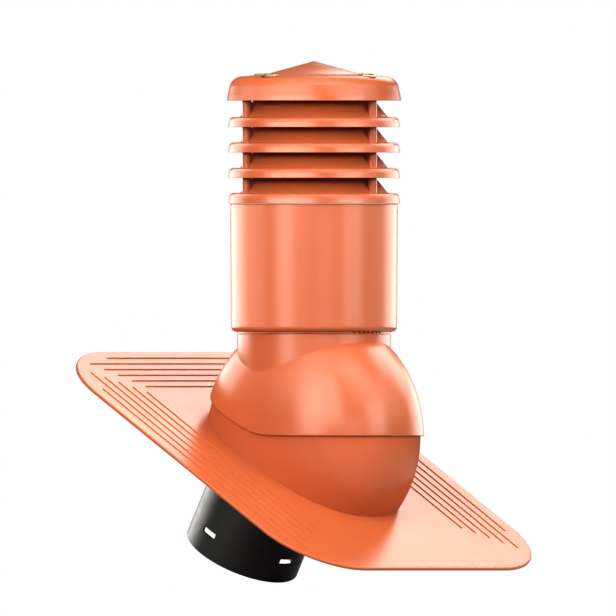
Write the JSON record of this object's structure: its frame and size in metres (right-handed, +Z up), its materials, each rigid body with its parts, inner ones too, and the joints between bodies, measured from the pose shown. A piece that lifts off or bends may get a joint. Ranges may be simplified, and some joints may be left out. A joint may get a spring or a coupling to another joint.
{
  "type": "roof ventilation chimney",
  "caption": "Moulded roof ventilation chimney on a sloping roof plate, with a swivelling domed base, a round jacket, a louvred head under a rain cap and a duct spigot below.",
  "frame": {"origin": "on the flat underside of the roof plate, on its centre line, 150 mm down the slope from the plate's middle", "axes": "+Z up along the stack, +X across the roof, -Y down the slope of a 30 degree roof"},
  "size_m": [0.45, 0.4772, 0.6633],
  "materials": {
    "terracotta_plastic": "glossy moulded terracotta plastic",
    "black_plastic": "satin black pipe plastic",
    "yellow_zinc": "yellow zinc plated steel"
  },
  "bodies": {
    "roof_base": {"base_plate": "terracotta_plastic", "spigot_pipe": "black_plastic"},
    "stack": {"hood": "terracotta_plastic", "jacket": "terracotta_plastic", "collar": "terracotta_plastic", "louvre_ring_lower": "terracotta_plastic", "louvre_ring_middle": "terracotta_plastic", "louvre_ring_upper": "terracotta_plastic", "rain_cap": "terracotta_plastic", "cap_screw_front": "yellow_zinc", "cap_screw_left": "yellow_zinc", "cap_screw_back": "yellow_zinc", "cap_screw_right": "yellow_zinc"}
  },
  "joints": [
    {"name": "pitch_swivel", "type": "hinge", "parent": "roof_base", "child": "stack", "pos_m": [0, 0.1104, 0.10877], "axis": [1, 0, 0], "range_deg": [-3, 15]}
  ]
}
